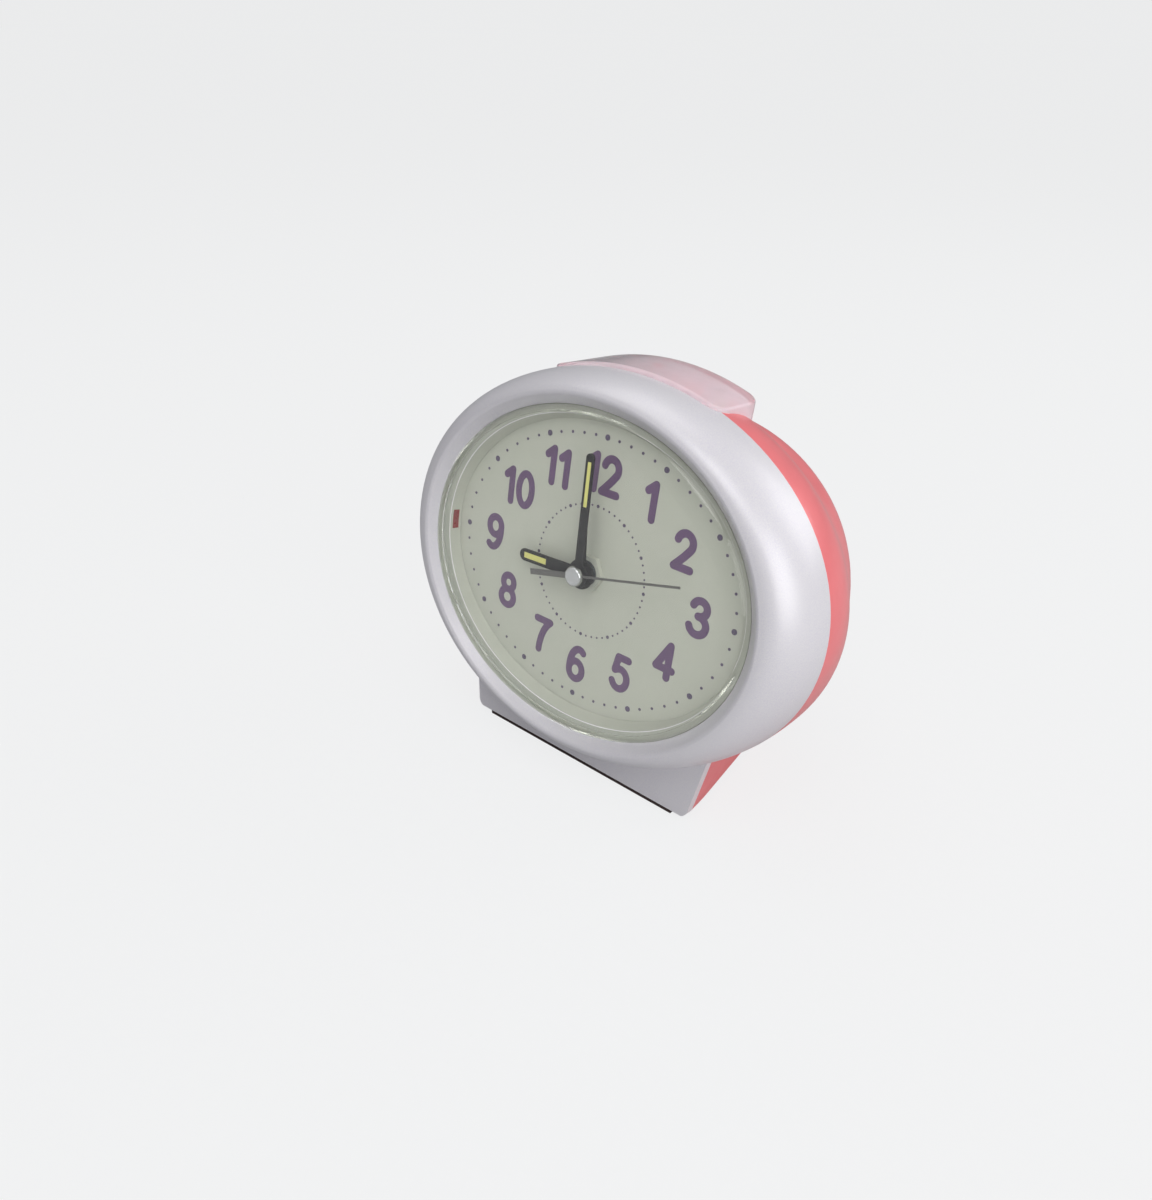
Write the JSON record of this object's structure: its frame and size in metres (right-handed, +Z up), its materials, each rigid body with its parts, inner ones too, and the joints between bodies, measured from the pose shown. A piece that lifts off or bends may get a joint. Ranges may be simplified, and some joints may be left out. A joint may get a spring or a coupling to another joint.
{
  "type": "talking alarm clock",
  "caption": "Oval talking alarm clock leaning back on a flat foot, with a numbered dial under a domed lens, a press bar on top, and knobs, switches and a battery door at the back.",
  "frame": {"origin": "on the table under the middle of the whole clock, at the underside of the rubber feet", "axes": "+Z up, -Y to the front where the dial faces, +X to the right as seen from the front"},
  "size_m": [0.1304, 0.0774, 0.1108],
  "materials": {
    "pearl": "pearl white gloss",
    "coral": "coral red gloss",
    "clear": "clear polished",
    "milky": "translucent milky pink",
    "dial": "printed matt",
    "dark_hand": "satin black",
    "lume": "luminous paint",
    "silver": "polished",
    "frame_white": "moulded",
    "movement_grey": "moulded",
    "gear_ivory": "moulded",
    "brass": "turned",
    "copper": "enamelled wire",
    "board_green": "solder mask",
    "switch_black": "moulded",
    "lamp_red": "tinted",
    "speaker_steel": "coated",
    "cone_paper": "pressed paper",
    "magnet": "ferrite",
    "cell_wrap": "plain wrap",
    "steel": "plated",
    "rubber_brown": "matt",
    "silicone": "soft",
    "control_white": "moulded"
  },
  "bodies": {
    "clock": {"front_case": "pearl", "rear_shell": "coral", "lens": "clear", "dial_plate": "dial", "dial_frame": "frame_white", "movement_case": "movement_grey", "movement_cover": "movement_grey", "movement_nut": "switch_black", "motor_coil": "copper", "bar_domes": "silicone", "speech_board": "board_green", "speech_chip": "switch_black", "bar_switch": "switch_black", "dial_lamps": "lamp_red", "speaker_frame": "speaker_steel", "speaker_cone": "cone_paper", "speaker_magnet": "magnet", "battery_cells": "cell_wrap", "battery_strap": "steel", "battery_terminals": "steel", "alarm_switch_body": "switch_black", "volume_switch_body": "switch_black", "set_switch": "switch_black", "case_screws": "steel", "frame_screws": "steel", "board_screws": "steel", "front_foot_strip": "rubber_brown", "rear_foot_pads": "rubber_brown"},
    "minute": {"minute_arbor": "gear_ivory", "minute_hand": "dark_hand", "minute_inlay": "lume"},
    "hour": {"hour_wheel": "gear_ivory", "hour_hand": "dark_hand", "hour_inlay": "lume"},
    "second": {"second_arbor": "brass", "second_hand": "silver", "hub_cap": "silver"},
    "alarm": {"alarm_wheel": "gear_ivory", "alarm_hand": "dark_hand"},
    "time_setter": {"time_knob": "control_white", "motion_wheel": "gear_ivory"},
    "alarm_setter": {"alarm_knob": "control_white", "alarm_arbor": "gear_ivory"},
    "bar": {"snooze_bar": "milky", "bar_screws": "steel"},
    "bar_plunger": {"bar_switch_plunger": "control_white"},
    "alarm_slider": {"alarm_switch_slider": "control_white"},
    "volume_slider": {"volume_switch_slider": "control_white"},
    "set_key": {"set_button": "control_white"},
    "set_plunger": {"set_switch_plunger": "control_white"},
    "door": {"battery_door": "coral"}
  },
  "joints": [
    {"name": "time_set", "type": "hinge", "parent": "clock", "child": "time_setter", "pos_m": [0.012, -0.0228, 0.0598], "axis": [0, -0.9848, 0.1736], "continuous": true},
    {"name": "minute_turn", "type": "hinge", "parent": "clock", "child": "minute", "pos_m": [0, -0.0228, 0.0598], "axis": [0, -0.9848, 0.1736], "continuous": true},
    {"name": "hour_turn", "type": "hinge", "parent": "clock", "child": "hour", "pos_m": [0, -0.0228, 0.0598], "axis": [0, -0.9848, 0.1736], "continuous": true},
    {"name": "alarm_set", "type": "hinge", "parent": "clock", "child": "alarm_setter", "pos_m": [-0.012, -0.0228, 0.0598], "axis": [0, -0.9848, 0.1736], "continuous": true},
    {"name": "alarm_turn", "type": "hinge", "parent": "clock", "child": "alarm", "pos_m": [0, -0.0228, 0.0598], "axis": [0, -0.9848, 0.1736], "continuous": true},
    {"name": "second_turn", "type": "hinge", "parent": "clock", "child": "second", "pos_m": [0, -0.0228, 0.0598], "axis": [0, -0.9848, 0.1736], "continuous": true},
    {"name": "snooze_press", "type": "slide", "parent": "clock", "child": "bar", "axis": [0, -0.1736, -0.9848], "range_m": [0, 0.001], "stiffness_N_per_m": 800, "springref_m": -0.0005, "deforming": ["bar_domes"]},
    {"name": "bar_plunger_press", "type": "slide", "parent": "clock", "child": "bar_plunger", "axis": [0, -0.1736, -0.9848], "range_m": [0, 0.001]},
    {"name": "alarm_switch", "type": "slide", "parent": "clock", "child": "alarm_slider", "axis": [0, 0.1736, 0.9848], "range_m": [-0.0015, 0.0015]},
    {"name": "volume_switch", "type": "slide", "parent": "clock", "child": "volume_slider", "axis": [0, 0.1736, 0.9848], "range_m": [-0.0015, 0.0015]},
    {"name": "set_press", "type": "slide", "parent": "clock", "child": "set_key", "axis": [0, -0.9848, 0.1736], "range_m": [0, 0.0006], "stiffness_N_per_m": 700, "springref_m": -0.0004},
    {"name": "set_plunger_press", "type": "slide", "parent": "clock", "child": "set_plunger", "axis": [0, -0.9848, 0.1736], "range_m": [0, 0.0006]},
    {"name": "door_pull", "type": "slide", "parent": "clock", "child": "door", "axis": [0, 0.9848, -0.1736], "range_m": [0, 0.03]}
  ],
  "couplings": [
    {"joint": "minute_turn", "follows": "time_set", "ratio": -3},
    {"joint": "hour_turn", "follows": "time_set", "ratio": -0.25},
    {"joint": "alarm_turn", "follows": "alarm_set", "ratio": -0.33333},
    {"joint": "bar_plunger_press", "follows": "snooze_press", "ratio": 1},
    {"joint": "set_plunger_press", "follows": "set_press", "ratio": 1}
  ]
}
